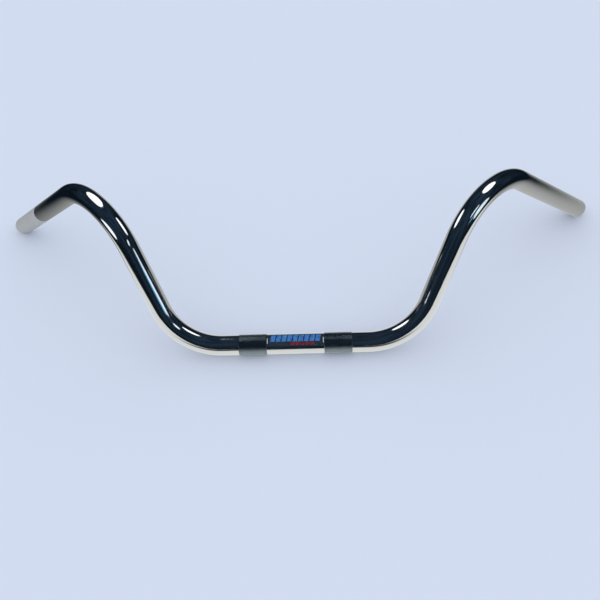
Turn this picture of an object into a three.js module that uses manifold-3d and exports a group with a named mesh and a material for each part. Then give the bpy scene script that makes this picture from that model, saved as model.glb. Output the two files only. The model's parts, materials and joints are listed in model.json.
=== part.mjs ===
// A motorcycle handlebar bent from one chromed steel tube, with two knurled clamp bands and a printed
// decal between them. Millimetres, +Z up.
//
// Frame: the origin is the middle of the straight centre section, on the tube's axis. +X runs along the
// centre section and +Y points back, the way the grips sweep. The bar lies as it does on a level table:
// it rests on its two clamp bands and on the lower rim of each grip's open end.
import * as THREE from "three";
import { mergeVertices } from "three/addons/utils/BufferGeometryUtils.js";
import Module from "manifold-3d";

// The tube
const TUBE_RADIUS = 11.1; // 22.2 mm across, the size that standard clamps, grips and levers fit
const WALL = 2;
const HALF_CENTRE = 80; // half of the straight centre section
const LOWER_BEND_RADIUS = 70; // bend radii are to the tube's axis
const RISER_ANGLE = 69; // degrees that each riser stands above the centre section
const RISER_LENGTH = 72; // the straight stretch of each riser
const UPPER_BEND_RADIUS = 75;
const GRIP_SWEEP = 50; // degrees that each grip turns back from the centre section's line
const GRIP_DROP = 19; // degrees that each grip dips below square to the plane of the risers
const GRIP_LENGTH = 193; // the straight stretch that takes the grip, to the tube's open end

// The knurled clamp bands, one each side of the middle
const BAND_START = 31.6; // from the middle to a band's inner edge
const BAND_LENGTH = 30.2;
const BAND_PROUD = 0.1; // the knurl's crests stand this far above the plain tube

// The decal: a carrier film with ink blocks on it, on the upper front of the tube between the bands.
// Angles on the tube are in degrees from the back (+Y), over the top.
const FILM_HALF_LENGTH = 31;
const FILM_FROM = 70;
const FILM_TO = 146;
const FILM_THICKNESS = 0.1;
const INK_THICKNESS = 0.1;
const SKIN_GAP = 0.05; // clearance under each thin layer, so that neighbouring solids never touch
const BLOCK_ROWS = [
  { name: "blue", count: 9, from: -26.8, to: 28.4, low: 118, high: 73, slant: 0.2 },
  { name: "red", count: 5, from: -5.3, to: 21.7, low: 138, high: 121, slant: 0.2 },
];
const BLOCK_SHARE = 0.82; // the part of each block's pitch that is ink
const TICK_PLACE = 30.5; // the white marks that end the decal, from the middle
const TICK_WIDTH = 0.8;
const TICK_LOW = 128;
const TICK_HIGH = 96;

// Faceting
const FACETS = 24; // sides of every round section
const FACET_ANGLE = 360 / FACETS;
const BEND_STEP = 6.5; // degrees of bend for each ring of facets
const CENTRE_STEPS = 2;
const STRAIGHT_STEPS = 3;
const LEAN_HALVINGS = 50; // bisection steps of the resting lean, enough for full precision
const WELD_DISTANCE = 1e-4; // vertices closer than this are one vertex

const CHROME = { color: 0x8d949b, roughness: 0.08, metalness: 1 };
const FILM = { color: 0x20303c, roughness: 0.25, metalness: 0 };
const WHITE_INK = { color: 0xd9dde0, roughness: 0.4, metalness: 0 };
const BLOCK_INK = {
  blue: { color: 0x2d6fc4, roughness: 0.4, metalness: 0 },
  red: { color: 0xb3203a, roughness: 0.4, metalness: 0 },
};

const AXIS_X = new THREE.Vector3(1, 0, 0);
const AXIS_Y = new THREE.Vector3(0, 1, 0);
const AXIS_Z = new THREE.Vector3(0, 0, 1);
const radians = THREE.MathUtils.degToRad;
const bandRadius = TUBE_RADIUS + BAND_PROUD;

const wasm = await Module();
wasm.setup();

// Walks half of the tube's axis, from the middle to the +X end, as stations that each hold a point and
// the section's own axes there. Bends carry the section round without twist.
class Walk {
  constructor() {
    this.point = new THREE.Vector3();
    this.heading = AXIS_X.clone();
    this.across = AXIS_Y.clone();
    this.stations = [];
    this.record();
  }

  record() {
    this.stations.push({
      point: this.point.clone(),
      heading: this.heading.clone(),
      across: this.across.clone(),
    });
  }

  straight(length, steps) {
    for (let i = 0; i < steps; i++) {
      this.point.addScaledVector(this.heading, length / steps);
      this.record();
    }
  }

  bend(towards, radius) {
    const angle = this.heading.angleTo(towards);
    const hinge = this.heading.clone().cross(towards).normalize();
    const centre = hinge.clone().cross(this.heading).multiplyScalar(radius).add(this.point);
    const steps = Math.ceil(angle / radians(BEND_STEP));
    for (let i = 0; i < steps; i++) {
      this.point.sub(centre).applyAxisAngle(hinge, angle / steps).add(centre);
      this.heading.applyAxisAngle(hinge, angle / steps);
      this.across.applyAxisAngle(hinge, angle / steps);
      this.record();
    }
  }
}

// Half of the axis, with the plane of the risers leaned back from upright by lean radians.
function halfAxis(lean) {
  const rise = radians(RISER_ANGLE);
  const sweep = radians(GRIP_SWEEP);
  const drop = radians(GRIP_DROP);
  const riser = new THREE.Vector3(Math.cos(rise), 0, Math.sin(rise));
  const grip = new THREE.Vector3(
    Math.cos(drop) * Math.cos(sweep),
    Math.cos(drop) * Math.sin(sweep),
    -Math.sin(drop),
  );
  riser.applyAxisAngle(AXIS_X, -lean);
  grip.applyAxisAngle(AXIS_X, -lean);
  const walk = new Walk();
  walk.straight(HALF_CENTRE, CENTRE_STEPS);
  walk.bend(riser, LOWER_BEND_RADIUS);
  walk.straight(RISER_LENGTH, STRAIGHT_STEPS);
  walk.bend(grip, UPPER_BEND_RADIUS);
  walk.straight(GRIP_LENGTH, STRAIGHT_STEPS);
  return walk.stations;
}

// The lean at which the rims of the grips come down to the surface that the bands rest on.
function restingLean() {
  let low = 0;
  let high = Math.PI / 2;
  for (let i = 0; i < LEAN_HALVINGS; i++) {
    const middle = (low + high) / 2;
    const end = halfAxis(middle).at(-1);
    const rimDrop = TUBE_RADIUS * Math.sqrt(1 - end.heading.z ** 2);
    if (end.point.z - rimDrop > -bandRadius) low = middle;
    else high = middle;
  }
  return (low + high) / 2;
}

// The whole axis as a curve whose stations and section axes are the walked ones.
class BarAxis extends THREE.Curve {
  constructor(half) {
    super();
    const mirror = (v) => new THREE.Vector3(-v.x, v.y, v.z);
    const mirrored = half.slice(1).map((s) => ({
      point: mirror(s.point),
      heading: mirror(s.heading).negate(),
      across: mirror(s.across),
    }));
    this.stations = [...mirrored.reverse(), ...half];
  }

  getPoint(t, target = new THREE.Vector3()) {
    const place = t * (this.stations.length - 1);
    const index = Math.min(Math.floor(place), this.stations.length - 2);
    const [from, to] = this.stations.slice(index, index + 2);
    return target.lerpVectors(from.point, to.point, place - index);
  }

  getSpacedPoints() {
    return this.stations.map((s) => s.point.clone());
  }

  computeFrenetFrames() {
    return {
      tangents: this.stations.map((s) => s.heading.clone()),
      normals: this.stations.map((s) => s.across.clone()),
      binormals: this.stations.map((s) => s.heading.clone().cross(s.across)),
    };
  }
}

// A ring section whose corners start at startAngle degrees.
function ringSection(outer, inner, startAngle = 0) {
  const start = radians(startAngle);
  const turn = 2 * Math.PI;
  const section = new THREE.Shape().absarc(0, 0, outer, start, start + turn);
  section.holes.push(new THREE.Path().absarc(0, 0, inner, start, start + turn, true));
  return section;
}

// Extrudes a section along +X, with the section's x along Y and its y along Z.
function extrudeAlongX(section, from, to) {
  const geometry = new THREE.ExtrudeGeometry(section, {
    depth: to - from,
    bevelEnabled: false,
    curveSegments: FACETS / 2,
  });
  const turn = new THREE.Matrix4().makeBasis(AXIS_Y, AXIS_Z, AXIS_X);
  return geometry.applyMatrix4(turn).translate(from, 0, 0);
}

function toSolid(geometry) {
  const bare = geometry.clone();
  bare.deleteAttribute("normal");
  bare.deleteAttribute("uv");
  const merged = mergeVertices(bare, WELD_DISTANCE);
  return new wasm.Manifold(
    new wasm.Mesh({
      numProp: 3,
      vertProperties: merged.attributes.position.array,
      triVerts: new Uint32Array(merged.index.array),
    }),
  );
}

function toGeometry(solid) {
  const mesh = solid.getMesh();
  const geometry = new THREE.BufferGeometry();
  geometry.setAttribute("position", new THREE.BufferAttribute(mesh.vertProperties, 3));
  geometry.setIndex(new THREE.BufferAttribute(mesh.triVerts, 1));
  geometry.computeVertexNormals();
  return geometry;
}

function part(name, geometry, finish) {
  const mesh = new THREE.Mesh(geometry, new THREE.MeshStandardMaterial(finish));
  mesh.name = name;
  return mesh;
}

function barTube() {
  const axis = new BarAxis(halfAxis(restingLean()));
  const sweep = new THREE.ExtrudeGeometry(ringSection(TUBE_RADIUS, TUBE_RADIUS - WALL), {
    steps: axis.stations.length - 1,
    extrudePath: axis,
    curveSegments: FACETS / 2,
  });
  // A band's facets lie half a facet round from the tube's, so that one faces straight down.
  const bandCorner = bandRadius / Math.cos(radians(FACET_ANGLE / 2));
  const bandSection = ringSection(bandCorner, TUBE_RADIUS - WALL / 2, FACET_ANGLE / 2);
  let solid = toSolid(sweep);
  for (const side of [-1, 1]) {
    const edges = [side * BAND_START, side * (BAND_START + BAND_LENGTH)];
    const band = extrudeAlongX(bandSection, Math.min(...edges), Math.max(...edges));
    solid = solid.add(toSolid(band));
  }
  return part("bar_tube", toGeometry(solid), CHROME);
}

// The point at an angle on the faceted round of the given corner radius.
function onFacets(radius, angle) {
  const fromMiddle = THREE.MathUtils.euclideanModulo(angle, FACET_ANGLE) - FACET_ANGLE / 2;
  const reach = (radius * Math.cos(radians(FACET_ANGLE / 2))) / Math.cos(radians(fromMiddle));
  return new THREE.Vector2(Math.cos(radians(angle)), Math.sin(radians(angle))).multiplyScalar(reach);
}

// A thin layer on the centre section from low to high degrees and from one X to another. Its sides
// slant by slant mm along X for each mm up the tube.
function skinPatch({ inner, thickness, from, to, low, high, slant = 0 }) {
  const angles = [high];
  for (let corner = Math.ceil(high / FACET_ANGLE) * FACET_ANGLE; corner < low; corner += FACET_ANGLE) {
    if (corner > high) angles.push(corner);
  }
  angles.push(low);
  const outside = angles.map((angle) => onFacets(inner + thickness, angle));
  const inside = angles.map((angle) => onFacets(inner, angle));
  const section = new THREE.Shape([...outside, ...inside.reverse()]);
  const geometry = extrudeAlongX(section, from, to);
  const place = geometry.attributes.position;
  for (let i = 0; i < place.count; i++) {
    const angle = Math.atan2(place.getZ(i), place.getY(i));
    const upTheTube = (radians((low + high) / 2) - angle) * TUBE_RADIUS;
    place.setX(i, place.getX(i) + slant * upTheTube);
  }
  geometry.computeVertexNormals();
  return geometry;
}

function decal() {
  const group = new THREE.Group();
  const filmInner = TUBE_RADIUS + SKIN_GAP;
  const film = skinPatch({
    inner: filmInner,
    thickness: FILM_THICKNESS,
    from: -FILM_HALF_LENGTH,
    to: FILM_HALF_LENGTH,
    low: FILM_TO,
    high: FILM_FROM,
  });
  group.add(part("decal_film", film, FILM));

  const ink = { inner: filmInner + FILM_THICKNESS + SKIN_GAP, thickness: INK_THICKNESS };
  for (const row of BLOCK_ROWS) {
    const pitch = (row.to - row.from) / row.count;
    for (let i = 0; i < row.count; i++) {
      const from = row.from + i * pitch;
      const block = skinPatch({ ...ink, ...row, from, to: from + pitch * BLOCK_SHARE });
      group.add(part(`decal_${row.name}_block_${i + 1}`, block, BLOCK_INK[row.name]));
    }
  }
  for (const [name, side] of [["minus_x", -1], ["plus_x", 1]]) {
    const from = side * TICK_PLACE - TICK_WIDTH / 2;
    const tick = skinPatch({ ...ink, from, to: from + TICK_WIDTH, low: TICK_LOW, high: TICK_HIGH });
    group.add(part(`decal_white_tick_${name}`, tick, WHITE_INK));
  }
  return group;
}

const handlebar = new THREE.Group();
handlebar.add(barTube());
handlebar.add(decal());

export default handlebar;
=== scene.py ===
"""A chromed motorcycle handlebar lying on a pale studio floor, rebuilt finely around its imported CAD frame.

Lengths are in metres and angles in degrees unless a name says otherwise. The tube's axis is walked from
the same few dimensions as the CAD part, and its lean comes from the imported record's end mounts.
"""
import json
import math

import bmesh
import bpy
from mathutils import Matrix, Vector


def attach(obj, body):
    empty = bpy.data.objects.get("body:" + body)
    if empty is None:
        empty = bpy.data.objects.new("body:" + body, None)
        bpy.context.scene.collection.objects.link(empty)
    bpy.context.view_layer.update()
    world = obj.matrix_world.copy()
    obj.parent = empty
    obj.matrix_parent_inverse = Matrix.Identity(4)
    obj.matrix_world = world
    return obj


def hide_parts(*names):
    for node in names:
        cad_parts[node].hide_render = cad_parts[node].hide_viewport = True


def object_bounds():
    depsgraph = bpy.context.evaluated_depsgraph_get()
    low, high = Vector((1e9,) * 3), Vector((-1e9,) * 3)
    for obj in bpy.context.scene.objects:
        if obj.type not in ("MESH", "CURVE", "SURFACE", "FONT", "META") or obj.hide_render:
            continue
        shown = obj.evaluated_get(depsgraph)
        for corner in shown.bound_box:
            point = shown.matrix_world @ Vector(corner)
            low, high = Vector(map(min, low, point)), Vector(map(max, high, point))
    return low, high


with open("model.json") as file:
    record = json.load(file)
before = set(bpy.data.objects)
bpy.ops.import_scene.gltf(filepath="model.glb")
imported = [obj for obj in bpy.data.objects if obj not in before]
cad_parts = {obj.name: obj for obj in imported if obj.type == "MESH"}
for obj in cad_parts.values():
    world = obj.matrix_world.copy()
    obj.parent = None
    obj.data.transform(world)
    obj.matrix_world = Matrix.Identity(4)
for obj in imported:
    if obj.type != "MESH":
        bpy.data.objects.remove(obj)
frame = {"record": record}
cad_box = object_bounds()

# ---------------------------------------------------------------- the bar's dimensions
TUBE_RADIUS = 0.0111
WALL = 0.002
HALF_CENTRE = 0.080
LOWER_BEND_RADIUS = 0.070
RISER_ANGLE = 69
RISER_LENGTH = 0.072
UPPER_BEND_RADIUS = 0.075
GRIP_SWEEP = 50
GRIP_DROP = 19
GRIP_LENGTH = 0.193
SATIN_PAINTED_REFLECTION_LENGTH = 0.092  # the -X grip's outer stretch is satin, not mirror-bright, and its pale grey is a painted reflection

BAND_START = 0.0316
BAND_LENGTH = 0.0302
KNURL_CREST = TUBE_RADIUS + 0.0001
KNURL_DEPTH = 0.00014
KNURL_STARTS = 52  # diamonds round the tube
KNURL_FLAT = 0.5  # the part of a diamond's half pitch that is worn flat
KNURL_SLENDERNESS = 1.35  # a diamond's length along the tube over its width round it
KNURL_STEPS = 7  # mesh steps across one diamond
KNURL_RUN_OUT = 0.0003  # the length over which the diamonds fade out at each end
SLEEVE_GAP = KNURL_RUN_OUT / 3  # from the sleeve's end to the wall of its seat
SLEEVE_ROOT = 0.0004  # how far the sleeve's hidden edges reach below the seat
SEAT_DEPTH = 0.0006  # the band's mesh sits in a seat this deep in the tube's mesh
SEAT_LIP = 0.0002  # the length of the bevel round a seat
SEAT_LIP_DROP = 0.00015
SEAT_WALL = SEAT_LIP / 4  # the length of the steep wall under the lip

RIM_CHAMFER = 0.0005
RIM_MARGIN = 0.003  # a ring of the mesh this far from each open end keeps the shading of the rim short
BORE_CHAMFER = 0.0003
WELD_HEIGHT = 0.0003  # the seam bead left inside the tube
WELD_HALF_ANGLE = 7
WELD_ANGLE = 205

SIDES = 128
BEND_STEP = 1.5
STRAIGHT_STEP = 0.006
SAME_PLACE = 1e-6  # two places along the tube closer than this are one
TUBE_CREASE = 25  # edges sharper than this split the shading
CHROME_FACES, BORE_FACES, SATIN_PAINTED_REFLECTION_FACES = range(3)  # the tube's materials, in order

FILM_HALF_LENGTH = 0.0310
FILM_LOW = 146  # angles on the tube count from the back (+Y), over the top
FILM_HIGH = 70
FILM_GAP = 0.00001
FILM_THICKNESS = 0.00006
FILM_CORNER = 0.002
INK_GAP = 0.000005
INK_THICKNESS = 0.00004
BLOCK_CORNER = 0.0006
BLOCK_SHARE = 0.82
BLOCK_ROWS = [
    {"name": "blue", "count": 9, "start": -0.0268, "end": 0.0284, "low": 118, "high": 73, "slant": 0.2},
    {"name": "red", "count": 5, "start": -0.0053, "end": 0.0217, "low": 138, "high": 121, "slant": 0.2},
]
# white print ticks at the decal's ends, which also stand in as painted glints on the knurled bands' inner
# shoulders
TICK_AND_GLINT_PLACE = 0.0305
TICK_AND_GLINT_WIDTH = 0.0008
TICK_AND_GLINT_LOW = 128
TICK_AND_GLINT_HIGH = 96
TICK_AND_GLINT_CORNER = 0.0002
CORNER_SEGMENTS = 5
WRAP_STEP = 0.0006  # the longest flat step round the tube
CUT_TOLERANCE = 1e-7
PATCH_CREASE = 40
# each ink's darker and lighter tone
INK_TONES = {
    "blue": ((0.014, 0.10, 0.36), (0.05, 0.24, 0.58)),
    "red": ((0.12, 0.006, 0.018), (0.26, 0.012, 0.035)),
    "white": ((0.45, 0.47, 0.5), (0.62, 0.64, 0.66)),
}

# ---------------------------------------------------------------- the studio
CAMERA_TARGET = Vector((0.0066, 0.0230, 0.0449))
CAMERA_DISTANCE = 0.7392
CAMERA_AZIMUTH = -2.69
CAMERA_ELEVATION = 45.93
CAMERA_ROLL = 3.54
CAMERA_LENS = 41.17
CAMERA_SENSOR = 36
CAMERA_CLIP = 0.01
FLOOR_Z = cad_box[0].z
FLOOR_SIZE = 40.0
FLOOR_COLOUR = (0.70, 0.76, 0.88, 1)
# the painted reflection: a glowing sheet that the chrome mirrors in the floor and that only glossy rays see;
# each pair is where it starts to fade and ends
PAINTED_SHEET_COLOUR = (0.97, 0.98, 0.95)
SHEET_MIDDLE = 0.08  # along X
SHEET_FRONT_SIDES = (0.47, 0.63)
SHEET_FRONT_END = (0.04, 0.12)
SHEET_BACK_SIDES = (0.20, 0.64)
SHEET_BACK_LIGHT = 0.56
SHADE_SIDES = (0.11, 0.20)  # painted shade: the sheet is dark this far each side of X = 0, on the camera's side
SHADE_END = (-0.075, -0.035)  # along Y
SOFT_LIGHT = (0.93, 0.95, 1.0, 1)
ROOM_LOW = (0.004, 0.009, 0.016)  # at the horizon
ROOM_HIGH = (0.016, 0.034, 0.060)  # overhead
ROOM_RISE = 0.7  # the power of the height by which the room lightens
CLOUD_SCALE = 2.6
CLOUD_LIGHT = (0.25, 1.5)
LAMP_AIM = Vector((0, 0.05, 0.08))
# name, place, width, height, roll, radiance and colour of each softbox that shows in the chrome
LAMPS = [
    ("tall_softbox_minus_x", (-1.91, -1.04, 0.40), 0.54, 1.22, 54, 1.6, (0.90, 0.96, 1)),
    ("tall_softbox_plus_x", (2.00, -0.95, 0.68), 0.76, 1.10, -22, 1.3, (0.80, 0.93, 1)),
    ("blue_window", (1.64, -1.385, 0.975), 0.80, 0.34, 0, 0.65, (0.22, 0.60, 1.0)),
    ("high_softbox", (1.00, -0.98, 1.31), 0.60, 0.26, -19, 1.5, (0.85, 0.95, 1)),
    ("card_minus_x", (-0.25, 0.22, 0.38), 0.30, 0.205, -12, 1.8, (1, 1, 1)),
    ("card_plus_x", (0.325, 0.235, 0.59), 0.38, 0.25, -16, 1.8, (1, 1, 1)),
]

X_AXIS = Vector((1, 0, 0))
Y_AXIS = Vector((0, 1, 0))
Z_AXIS = Vector((0, 0, 1))


# ---------------------------------------------------------------- the tube's axis
def record_mount(name):
    return next(m for m in frame["record"]["mounts"] if m["name"] == name)


def grip_direction():
    """The +X grip's direction with the risers' plane upright."""
    sweep = math.radians(GRIP_SWEEP)
    drop = math.radians(GRIP_DROP)
    return Vector((
        math.cos(drop) * math.cos(sweep),
        math.cos(drop) * math.sin(sweep),
        -math.sin(drop),
    ))


def resting_lean():
    """How far the risers' plane leans back: the turn that takes the grip onto the end mount's axis."""
    upright = grip_direction()
    lying = record_mount("open_end_plus_x")["axis"]
    return math.atan2(upright.z, upright.y) - math.atan2(lying[2], lying[1])


class Walk:
    """Stations along the tube's axis: point, heading, the section's Y side, and the distance so far."""

    def __init__(self):
        self.point = Vector((0, 0, 0))
        self.heading = X_AXIS.copy()
        self.across = Y_AXIS.copy()
        self.distance = 0.0
        self.stations = []
        self.note()

    def note(self):
        self.stations.append((self.point.copy(), self.heading.copy(), self.across.copy(), self.distance))

    def straight(self, length, places=()):
        """A straight stretch with even stations, and one at each of the given distances from its start."""
        count = math.ceil(length / STRAIGHT_STEP)
        stops = {round(length * (i + 1) / count, 7) for i in range(count)} | {round(p, 7) for p in places}
        start = self.point.copy()
        start_distance = self.distance
        for stop in sorted(stops):
            self.point = start + self.heading * stop
            self.distance = start_distance + stop
            self.note()

    def bend(self, towards, radius):
        angle = self.heading.angle(towards)
        hinge = self.heading.cross(towards).normalized()
        centre = self.point + hinge.cross(self.heading) * radius
        count = math.ceil(math.degrees(angle) / BEND_STEP)
        turn = Matrix.Rotation(angle / count, 3, hinge)
        for _ in range(count):
            self.point = centre + turn @ (self.point - centre)
            self.heading = (turn @ self.heading).normalized()
            self.across = (turn @ self.across).normalized()
            self.distance += radius * angle / count
            self.note()


def tube_stations():
    """Stations from the -X open end to the +X one; distance is signed, from the middle."""
    lean = Matrix.Rotation(-resting_lean(), 3, "X")
    rise = math.radians(RISER_ANGLE)
    riser = lean @ Vector((math.cos(rise), 0, math.sin(rise)))
    grip = (lean @ grip_direction()).normalized()
    walk = Walk()
    walk.straight(HALF_CENTRE, seat_places())
    walk.bend(riser, LOWER_BEND_RADIUS)
    walk.straight(RISER_LENGTH)
    walk.bend(grip, UPPER_BEND_RADIUS)
    walk.straight(GRIP_LENGTH, [GRIP_LENGTH - back for back in (SATIN_PAINTED_REFLECTION_LENGTH, RIM_MARGIN, RIM_CHAMFER)])
    half = walk.stations
    flip = Matrix.Diagonal((-1, 1, 1))
    mirrored = [(flip @ p, -(flip @ h), flip @ a, -d) for p, h, a, d in half[1:]]
    return mirrored[::-1] + half


# ---------------------------------------------------------------- the tube
def seat_places():
    """The distances along the centre section where the seat of a knurled band steps down and up."""
    inner = BAND_START
    outer = BAND_START + BAND_LENGTH
    return [inner - SEAT_LIP, inner, inner + SEAT_WALL, outer - SEAT_WALL, outer, outer + SEAT_LIP]


def outer_radius(distance, length):
    """The tube mesh's outer radius: full, but for the rims and the bands' seats.

    A seat has a bevelled lip on its inner side, and a wall that slopes up on its outer side.
    """
    place = abs(distance)
    in_seat = place - BAND_START
    if abs(in_seat) < SAME_PLACE:
        return TUBE_RADIUS - SEAT_LIP_DROP
    if 0 < in_seat < BAND_LENGTH + SAME_PLACE:
        return TUBE_RADIUS - SEAT_DEPTH
    if length - place < RIM_CHAMFER / 2:
        return TUBE_RADIUS - RIM_CHAMFER
    return TUBE_RADIUS


def add_ring(mesh, station, radii):
    """A ring of vertices square to the heading, with the given radii, from the station's Y side on."""
    point, heading, across, _ = station
    up = heading.cross(across)
    ring = []
    for i, radius in enumerate(radii):
        angle = 2 * math.pi * i / len(radii)
        ring.append(mesh.verts.new(point + (across * math.cos(angle) + up * math.sin(angle)) * radius))
    return ring


def join_rings(mesh, a, b, material=CHROME_FACES):
    for i in range(len(a)):
        j = (i + 1) % len(a)
        face = mesh.faces.new((a[i], a[j], b[j], b[i]))
        face.material_index = material
        face.smooth = True


def bore_radius(angle):
    """The bore is round but for the weld bead along it."""
    off = abs(math.remainder(angle - math.radians(WELD_ANGLE), 2 * math.pi))
    half = math.radians(WELD_HALF_ANGLE)
    bead = WELD_HEIGHT * math.cos(off / half * math.pi / 2) if off < half else 0
    return TUBE_RADIUS - WALL - bead


def finish_mesh(mesh, name, materials, crease=None):
    """Links the mesh as an object; edges sharper than crease degrees split its shading."""
    bmesh.ops.recalc_face_normals(mesh, faces=mesh.faces)
    if crease is not None:
        mesh.normal_update()
        for edge in mesh.edges:
            if len(edge.link_faces) == 2 and edge.calc_face_angle() > math.radians(crease):
                edge.smooth = False
    data = bpy.data.meshes.new(name)
    mesh.to_mesh(data)
    mesh.free()
    piece = bpy.data.objects.new(name, data)
    bpy.context.scene.collection.objects.link(piece)
    for material in materials:
        data.materials.append(material)
    return piece


def make_tube(chrome, bore_steel, satin_painted_reflection):
    stations = tube_stations()
    length = stations[-1][3]
    satin_painted_reflection_start = SATIN_PAINTED_REFLECTION_LENGTH - length
    bore_radii = [bore_radius(2 * math.pi * i / SIDES) for i in range(SIDES)]
    lip_radii = [TUBE_RADIUS - WALL + BORE_CHAMFER] * SIDES
    mesh = bmesh.new()
    outer = [add_ring(mesh, s, [outer_radius(s[3], length)] * SIDES) for s in stations]
    bore = [add_ring(mesh, s, bore_radii) for s in stations[1:-1]]
    lips = [add_ring(mesh, s, lip_radii) for s in (stations[0], stations[-1])]
    for a, b, station in zip(outer, outer[1:], stations[1:]):
        # the -X grip's outer stretch takes the satin plate with its painted reflection
        join_rings(mesh, a, b, SATIN_PAINTED_REFLECTION_FACES if station[3] < satin_painted_reflection_start + SAME_PLACE else CHROME_FACES)
    for a, b in zip(bore, bore[1:]):
        join_rings(mesh, b, a, BORE_FACES)
    for rim, lip, first in ((outer[0], lips[0], bore[0]), (outer[-1], lips[1], bore[-1])):
        join_rings(mesh, rim, lip)
        join_rings(mesh, lip, first, BORE_FACES)
    return finish_mesh(mesh, "bent_tube", [chrome, bore_steel, satin_painted_reflection], TUBE_CREASE)


# ---------------------------------------------------------------- the knurled bands
def knurl_height(round_tube, along):
    """Height from the crest's level at a place given in diamonds: two crossing families of grooves."""
    deepest = 0.0
    for family in (round_tube + along, round_tube - along):
        off_crest = 1 - 2 * abs(family - math.floor(family) - 0.5)
        cut = max(0.0, off_crest - KNURL_FLAT) / (1 - KNURL_FLAT)
        deepest = max(deepest, cut * cut * (3 - 2 * cut))
    return -KNURL_DEPTH * deepest


def make_knurl(side, material, name):
    """One band: a sleeve of raised diamonds that closes on itself inside the tube's wall."""
    around = KNURL_STARTS * KNURL_STEPS
    diamond_length = 2 * math.pi * TUBE_RADIUS / KNURL_STARTS * KNURL_SLENDERNESS
    rows = round(BAND_LENGTH / (diamond_length / KNURL_STEPS))
    start = BAND_START if side > 0 else -BAND_START - BAND_LENGTH
    first = start + SLEEVE_GAP
    last = start + BAND_LENGTH - SLEEVE_GAP
    buried = [TUBE_RADIUS - SEAT_DEPTH - SLEEVE_ROOT] * around
    sections = [(first, buried)]
    for row in range(rows + 1):
        x = first + (last - first) * row / rows
        from_end = min(x - start, start + BAND_LENGTH - x)
        ease = min(1.0, from_end / KNURL_RUN_OUT)
        crest = KNURL_CREST - (1 - ease) * KNURL_DEPTH / 2
        heights = [knurl_height(i / KNURL_STEPS, x / diamond_length) for i in range(around)]
        sections.append((x, [crest + height * ease for height in heights]))
    sections.append((last, buried))
    mesh = bmesh.new()
    rings = [add_ring(mesh, (X_AXIS * x, X_AXIS, Y_AXIS, x), radii) for x, radii in sections]
    for a, b in zip(rings, rings[1:] + rings[:1]):
        join_rings(mesh, a, b)
    return finish_mesh(mesh, name, [material])


# ---------------------------------------------------------------- the decal
def rounded_outline(start, end, half_height, slant, corner):
    """A rounded parallelogram as (x, y) points, counter-clockwise, with its middle at y = 0."""
    corners = []
    for x, y in ((start, -1), (end, -1), (end, 1), (start, 1)):
        corners.append(Vector((x + slant * y * half_height, y * half_height)))
    outline = []
    for i, point in enumerate(corners):
        before = (corners[i - 1] - point).normalized()
        after = (corners[(i + 1) % 4] - point).normalized()
        for k in range(CORNER_SEGMENTS + 1):
            t = k / CORNER_SEGMENTS
            # a quadratic curve from one side to the other, with the corner as its control point
            p = point + before * corner * (1 - t) ** 2 + after * corner * t**2
            outline.append((p.x, p.y))
    return outline


def make_patch(name, material, low_radius, thickness, start, end, low, high, slant=0.0, corner=BLOCK_CORNER):
    """A thin printed layer, cut flat and then wrapped round the tube between the angles low and high."""
    half_height = math.radians(low - high) / 2 * TUBE_RADIUS
    middle = math.radians((low + high) / 2) * TUBE_RADIUS
    outline = rounded_outline(start, end, half_height, slant, corner)
    mesh = bmesh.new()
    base = mesh.faces.new([mesh.verts.new((x, y, 0)) for x, y in outline])
    lift = bmesh.ops.extrude_face_region(mesh, geom=[base])
    top = [g for g in lift["geom"] if isinstance(g, bmesh.types.BMVert)]
    bmesh.ops.translate(mesh, verts=top, vec=(0, 0, thickness))
    cuts = math.ceil(2 * half_height / WRAP_STEP)
    for i in range(1, cuts):
        y = -half_height + 2 * half_height * i / cuts
        geometry = mesh.verts[:] + mesh.edges[:] + mesh.faces[:]
        bmesh.ops.bisect_plane(mesh, geom=geometry, plane_co=(0, y, 0), plane_no=Y_AXIS, dist=CUT_TOLERANCE)
    for vert in mesh.verts:
        x, y, z = vert.co
        angle = (middle - y) / TUBE_RADIUS
        radius = low_radius + z
        vert.co = (x, radius * math.cos(angle), radius * math.sin(angle))
    for face in mesh.faces:
        face.smooth = True
    return finish_mesh(mesh, name, [material], PATCH_CREASE)


def make_decal(film_material, inks):
    film_radius = TUBE_RADIUS + FILM_GAP
    ink_radius = film_radius + FILM_THICKNESS + INK_GAP
    film = make_patch("film_carrier", film_material, film_radius, FILM_THICKNESS,
                      -FILM_HALF_LENGTH, FILM_HALF_LENGTH, FILM_LOW, FILM_HIGH, corner=FILM_CORNER)
    place(film, "decal_film", "film")
    for row in BLOCK_ROWS:
        colour = row["name"]
        pitch = (row["end"] - row["start"]) / row["count"]
        for i in range(row["count"]):
            start = row["start"] + i * pitch
            block = make_patch(f"{colour}_print_{i + 1}", inks[colour], ink_radius, INK_THICKNESS,
                               start, start + pitch * BLOCK_SHARE, row["low"], row["high"], row["slant"])
            place(block, f"decal_{colour}_block_{i + 1}", colour + "_ink")
    # the white ticks: print, and also painted glints at the bands' shoulders
    for name, side in (("minus_x", -1), ("plus_x", 1)):
        start = side * TICK_AND_GLINT_PLACE - TICK_AND_GLINT_WIDTH / 2
        tick = make_patch(f"white_print_and_glint_{name}", inks["white"], ink_radius, INK_THICKNESS,
                          start, start + TICK_AND_GLINT_WIDTH, TICK_AND_GLINT_LOW, TICK_AND_GLINT_HIGH, corner=TICK_AND_GLINT_CORNER)
        place(tick, f"decal_white_tick_{name}", "white_ink")


def place(piece, node, slot):
    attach(piece, "root")
    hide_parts(node)


# ---------------------------------------------------------------- materials
def new_material(name):
    material = bpy.data.materials.new(name)
    material.use_nodes = True
    nodes = material.node_tree.nodes
    return material, nodes, material.node_tree.links, nodes["Principled BSDF"]


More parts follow.
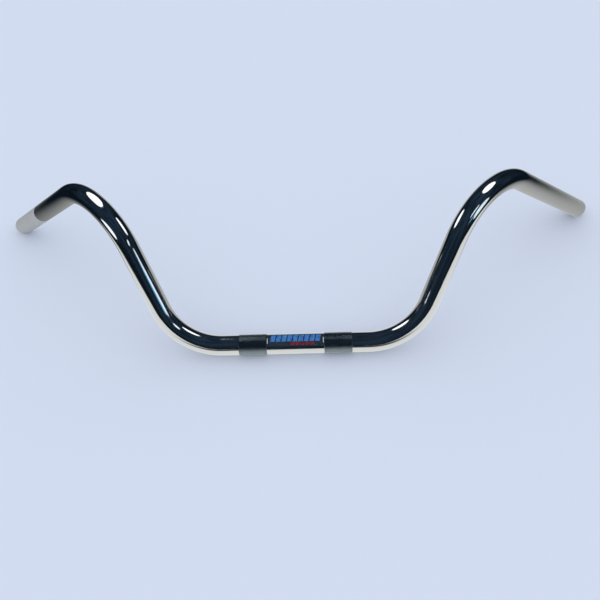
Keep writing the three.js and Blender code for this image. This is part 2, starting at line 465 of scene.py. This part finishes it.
def object_noise(nodes, links, scale, detail):
    place_node = nodes.new("ShaderNodeTexCoord")
    noise = nodes.new("ShaderNodeTexNoise")
    noise.inputs["Scale"].default_value = scale
    noise.inputs["Detail"].default_value = detail
    links.new(place_node.outputs["Object"], noise.inputs["Vector"])
    return noise.outputs["Fac"]


def remap(nodes, links, source, low, high, from_low=0.3, from_high=0.7):
    node = nodes.new("ShaderNodeMapRange")
    node.inputs["From Min"].default_value = from_low
    node.inputs["From Max"].default_value = from_high
    node.inputs["To Min"].default_value = low
    node.inputs["To Max"].default_value = high
    links.new(source, node.inputs["Value"])
    return node.outputs["Result"]


def tint(nodes, links, factor, dark, light):
    mix = nodes.new("ShaderNodeMix")
    mix.data_type = "RGBA"
    mix.inputs["A"].default_value = (*dark, 1)
    mix.inputs["B"].default_value = (*light, 1)
    links.new(factor, mix.inputs["Factor"])
    return mix.outputs["Result"]


def bump(nodes, links, height, strength, distance, before=None):
    node = nodes.new("ShaderNodeBump")
    node.inputs["Strength"].default_value = strength
    node.inputs["Distance"].default_value = distance
    links.new(height, node.inputs["Height"])
    if before is not None:
        links.new(before, node.inputs["Normal"])
    return node.outputs["Normal"]


def chrome_material():
    """Polished chrome plate: a faint slow wave from the polishing wheel, a fine grain, and patchy haze."""
    material, nodes, links, shader = new_material("polished_chrome")
    shader.inputs["Metallic"].default_value = 1.0
    haze = object_noise(nodes, links, scale=38, detail=4)
    links.new(remap(nodes, links, haze, low=0.045, high=0.10), shader.inputs["Roughness"])
    tone = object_noise(nodes, links, scale=9, detail=2)
    links.new(tint(nodes, links, tone, dark=(0.62, 0.64, 0.65), light=(0.67, 0.68, 0.685)),
              shader.inputs["Base Color"])
    wave = object_noise(nodes, links, scale=55, detail=1)
    grain = object_noise(nodes, links, scale=900, detail=2)
    slow = bump(nodes, links, wave, strength=0.25, distance=0.0004)
    links.new(bump(nodes, links, grain, strength=0.04, distance=0.0001, before=slow),
              shader.inputs["Normal"])
    return material


def satin_painted_reflection_material():
    """Plate left satin where the grip slides on: a fine matt grain over an even, pale grey that is a painted
    reflection.
    """
    material, nodes, links, shader = new_material("satin_painted_reflection_plate")
    shader.inputs["Metallic"].default_value = 0.4
    tone = object_noise(nodes, links, scale=60, detail=3)
    # painted reflection: the pale grey stands in for a bright reflection on the -X grip's end
    links.new(tint(nodes, links, tone, dark=(0.72, 0.73, 0.72), light=(0.82, 0.82, 0.79)),
              shader.inputs["Base Color"])
    links.new(remap(nodes, links, tone, low=0.3, high=0.42), shader.inputs["Roughness"])
    grain = object_noise(nodes, links, scale=1100, detail=3)
    links.new(bump(nodes, links, grain, strength=0.08, distance=0.0001), shader.inputs["Normal"])
    return material


def knurl_material():
    """The same plate over cut diamonds: duller, with painted shade down in the grooves."""
    material, nodes, links, shader = new_material("knurled_chrome")
    shader.inputs["Metallic"].default_value = 1.0
    place_node = nodes.new("ShaderNodeTexCoord")
    split = nodes.new("ShaderNodeSeparateXYZ")
    links.new(place_node.outputs["Object"], split.inputs["Vector"])
    flat = nodes.new("ShaderNodeCombineXYZ")
    links.new(split.outputs["Y"], flat.inputs["Y"])
    links.new(split.outputs["Z"], flat.inputs["Z"])
    reach = nodes.new("ShaderNodeVectorMath")
    reach.operation = "LENGTH"
    links.new(flat.outputs["Vector"], reach.inputs[0])
    level = remap(nodes, links, reach.outputs["Value"], low=0, high=1,
                  from_low=KNURL_CREST - KNURL_DEPTH, from_high=KNURL_CREST)
    # painted shade: the base colour darkens from the crests down into the grooves
    links.new(tint(nodes, links, level, dark=(0.05, 0.07, 0.085), light=(0.29, 0.35, 0.39)),
              shader.inputs["Base Color"])
    links.new(remap(nodes, links, level, low=0.3, high=0.13, from_low=0, from_high=1),
              shader.inputs["Roughness"])
    grain = object_noise(nodes, links, scale=1500, detail=3)
    links.new(bump(nodes, links, grain, strength=0.2, distance=0.0001), shader.inputs["Normal"])
    return material


def bore_material():
    """The bare steel inside the tube: dull, mottled grey with a little rust bloom."""
    material, nodes, links, shader = new_material("bare_bore_steel")
    shader.inputs["Metallic"].default_value = 0.85
    mottle = object_noise(nodes, links, scale=160, detail=5)
    rust = object_noise(nodes, links, scale=420, detail=4)
    steel = tint(nodes, links, mottle, dark=(0.10, 0.10, 0.105), light=(0.24, 0.235, 0.23))
    mix = nodes.new("ShaderNodeMix")
    mix.data_type = "RGBA"
    mix.inputs["B"].default_value = (0.16, 0.07, 0.03, 1)
    links.new(steel, mix.inputs["A"])
    links.new(remap(nodes, links, rust, low=0, high=0.7, from_low=0.55, from_high=0.75),
              mix.inputs["Factor"])
    links.new(mix.outputs["Result"], shader.inputs["Base Color"])
    links.new(remap(nodes, links, mottle, low=0.4, high=0.65), shader.inputs["Roughness"])
    links.new(bump(nodes, links, rust, strength=0.3, distance=0.0002), shader.inputs["Normal"])
    return material


def film_material():
    """A clear carrier film, just milky enough to show where it ends."""
    material, nodes, links, shader = new_material("clear_decal_film")
    shader.inputs["Base Color"].default_value = (0.05, 0.07, 0.09, 1)
    shader.inputs["Alpha"].default_value = 0.16
    shader.inputs["IOR"].default_value = 1.5
    ripple = object_noise(nodes, links, scale=140, detail=2)
    links.new(remap(nodes, links, ripple, low=0.1, high=0.22), shader.inputs["Roughness"])
    links.new(bump(nodes, links, ripple, strength=0.2, distance=0.0002), shader.inputs["Normal"])
    return material


def ink_material(name, dark, light):
    """Gloss ink with a mottled, slightly uneven lay."""
    material, nodes, links, shader = new_material(name)
    mottle = object_noise(nodes, links, scale=420, detail=3)
    shade = remap(nodes, links, mottle, low=0, high=1)
    links.new(tint(nodes, links, shade, dark, light), shader.inputs["Base Color"])
    links.new(remap(nodes, links, mottle, low=0.25, high=0.4), shader.inputs["Roughness"])
    links.new(bump(nodes, links, mottle, strength=0.1, distance=0.0001), shader.inputs["Normal"])
    shader.inputs["Coat Weight"].default_value = 0.3
    shader.inputs["Coat Roughness"].default_value = 0.1
    return material


# ---------------------------------------------------------------- the studio
def fade(nodes, links, value, start, end):
    """1 where value is at or before start, falling smoothly to 0 at end."""
    result = remap(nodes, links, value, low=1, high=0, from_low=start, from_high=end)
    result.node.interpolation_type = "SMOOTHSTEP"
    return result


def arithmetic(nodes, links, operation, a, b=0):
    node = nodes.new("ShaderNodeMath")
    node.operation = operation
    for socket, value in zip(node.inputs, (a, b)):
        if isinstance(value, (int, float)):
            socket.default_value = value
        else:
            links.new(value, socket)
    return node.outputs["Value"]


def product(nodes, links, a, b):
    return arithmetic(nodes, links, "MULTIPLY", a, b)


def rest_of(nodes, links, share):
    """What a share from 0 to 1 leaves."""
    return arithmetic(nodes, links, "SUBTRACT", 1, share)


def mirror_mix(nodes, links, seen, mirrored):
    """One shader for the camera and for soft light, and another where the chrome mirrors it."""
    path = nodes.new("ShaderNodeLightPath")
    mix = nodes.new("ShaderNodeMixShader")
    links.new(path.outputs["Is Glossy Ray"], mix.inputs["Fac"])
    links.new(seen, mix.inputs[1])
    links.new(mirrored, mix.inputs[2])
    return mix.outputs["Shader"]


def make_floor():
    """A pale floor, which the chrome mirrors as a bright, glowing sheet: a painted reflection.

    The sheet dims to the back and the sides, and has a patch of painted shade at its front.
    """
    material, nodes, links, shader = new_material("pale_floor")
    shader.inputs["Base Color"].default_value = FLOOR_COLOUR
    shader.inputs["Roughness"].default_value = 0.9
    shader.inputs["Specular IOR Level"].default_value = 0.1

    spot = nodes.new("ShaderNodeTexCoord")
    split = nodes.new("ShaderNodeSeparateXYZ")
    links.new(spot.outputs["Object"], split.inputs["Vector"])
    x, y = split.outputs["X"], split.outputs["Y"]
    off_middle = arithmetic(nodes, links, "SUBTRACT", x, SHEET_MIDDLE)
    off_middle = arithmetic(nodes, links, "ABSOLUTE", off_middle)
    in_front = fade(nodes, links, y, *SHEET_FRONT_END)
    front = product(nodes, links, fade(nodes, links, off_middle, *SHEET_FRONT_SIDES), in_front)
    back = product(nodes, links, fade(nodes, links, off_middle, *SHEET_BACK_SIDES), SHEET_BACK_LIGHT)
    back = product(nodes, links, back, rest_of(nodes, links, in_front))
    sheet = arithmetic(nodes, links, "ADD", front, back)
    # painted shade: a dark patch in the painted sheet, in front of the bar
    off_centre = arithmetic(nodes, links, "ABSOLUTE", x)
    shade = product(nodes, links, fade(nodes, links, off_centre, *SHADE_SIDES),
                    fade(nodes, links, y, *SHADE_END))
    lit = product(nodes, links, sheet, rest_of(nodes, links, shade))
    # painted reflection: glossy rays see the floor glow with the painted sheet instead of its own pale
    # shading
    mirrored = nodes.new("ShaderNodeEmission")
    links.new(tint(nodes, links, lit, ROOM_LOW, PAINTED_SHEET_COLOUR), mirrored.inputs["Color"])
    surface = mirror_mix(nodes, links, shader.outputs["BSDF"], mirrored.outputs["Emission"])
    links.new(surface, nodes["Material Output"].inputs["Surface"])

    mesh = bmesh.new()
    bmesh.ops.create_grid(mesh, x_segments=1, y_segments=1, size=FLOOR_SIZE / 2)
    floor = finish_mesh(mesh, "floor", [material])
    floor.location = (0, 0, FLOOR_Z)


def make_world():
    """Pale and even for the camera and for soft light, but a dark room where the chrome mirrors it."""
    world = bpy.data.worlds.new("studio")
    bpy.context.scene.world = world
    world.use_nodes = True
    nodes = world.node_tree.nodes
    links = world.node_tree.links
    nodes.clear()
    soft = nodes.new("ShaderNodeBackground")
    soft.inputs["Color"].default_value = SOFT_LIGHT
    soft.inputs["Strength"].default_value = 1.0

    # the room: darkest at the horizon, lighter overhead, and cloudy all over
    sky = nodes.new("ShaderNodeTexCoord")
    split = nodes.new("ShaderNodeSeparateXYZ")
    links.new(sky.outputs["Generated"], split.inputs["Vector"])
    clouds = nodes.new("ShaderNodeTexNoise")
    clouds.inputs["Scale"].default_value = CLOUD_SCALE
    clouds.inputs["Detail"].default_value = 2
    links.new(sky.outputs["Generated"], clouds.inputs["Vector"])
    height = arithmetic(nodes, links, "MAXIMUM", split.outputs["Z"], 0)
    height = arithmetic(nodes, links, "POWER", height, ROOM_RISE)
    room = nodes.new("ShaderNodeBackground")
    links.new(tint(nodes, links, height, ROOM_LOW, ROOM_HIGH), room.inputs["Color"])
    links.new(remap(nodes, links, clouds.outputs["Fac"], *CLOUD_LIGHT), room.inputs["Strength"])
    surface = mirror_mix(nodes, links, soft.outputs["Background"], room.outputs["Background"])
    links.new(surface, nodes.new("ShaderNodeOutputWorld").inputs["Surface"])


def direction(azimuth, elevation):
    """Azimuth counts from +Y towards +X."""
    a = math.radians(azimuth)
    e = math.radians(elevation)
    return Vector((math.sin(a) * math.cos(e), math.cos(a) * math.cos(e), math.sin(e)))


def looking(position, toward, roll):
    """Where a lamp or camera stands when it looks along toward, rolled by roll degrees."""
    level = toward.cross(Z_AXIS).normalized()
    upright = level.cross(toward)
    facing = Matrix((level, upright, -toward)).transposed()
    turn = Matrix.Rotation(math.radians(roll), 3, toward)
    return Matrix.Translation(position) @ (turn @ facing).to_4x4()


def make_softbox(name, position, width, height, roll, radiance, tone):
    """An elliptical light of even radiance that shows in the chrome but leaves no pool on the floor."""
    light = bpy.data.lights.new(name, "AREA")
    light.shape = "ELLIPSE"
    light.size = width
    light.size_y = height
    light.color = tone
    area = width * height * math.pi / 4
    light.energy = radiance * math.pi * area
    lamp = bpy.data.objects.new(name, light)
    bpy.context.scene.collection.objects.link(lamp)
    lamp.visible_diffuse = False
    lamp.matrix_world = looking(position, (LAMP_AIM - position).normalized(), roll)


def make_lights():
    for name, position, *rest in LAMPS:
        make_softbox(name, Vector(position), *rest)


def make_camera():
    camera = bpy.data.cameras.new("camera")
    camera.lens = CAMERA_LENS
    camera.sensor_width = CAMERA_SENSOR
    camera.clip_start = CAMERA_CLIP
    view = bpy.data.objects.new("camera", camera)
    bpy.context.scene.collection.objects.link(view)
    away = direction(CAMERA_AZIMUTH, -CAMERA_ELEVATION)
    view.matrix_world = looking(CAMERA_TARGET - away * CAMERA_DISTANCE, away, CAMERA_ROLL)
    bpy.context.scene.camera = view


# ---------------------------------------------------------------- assembly
tube = make_tube(chrome_material(), bore_material(), satin_painted_reflection_material())
place(tube, "bar_tube", "chrome")
knurled = knurl_material()
for band_side, band_name in ((-1, "knurl_band_minus_x"), (1, "knurl_band_plus_x")):
    place(make_knurl(band_side, knurled, band_name), "bar_tube", "chrome")
film = film_material()
make_decal(film, {name: ink_material(name + "_ink", *tones) for name, tones in INK_TONES.items()})
make_floor()
make_world()
make_lights()
make_camera()
bpy.context.scene.view_settings.view_transform = "Standard"
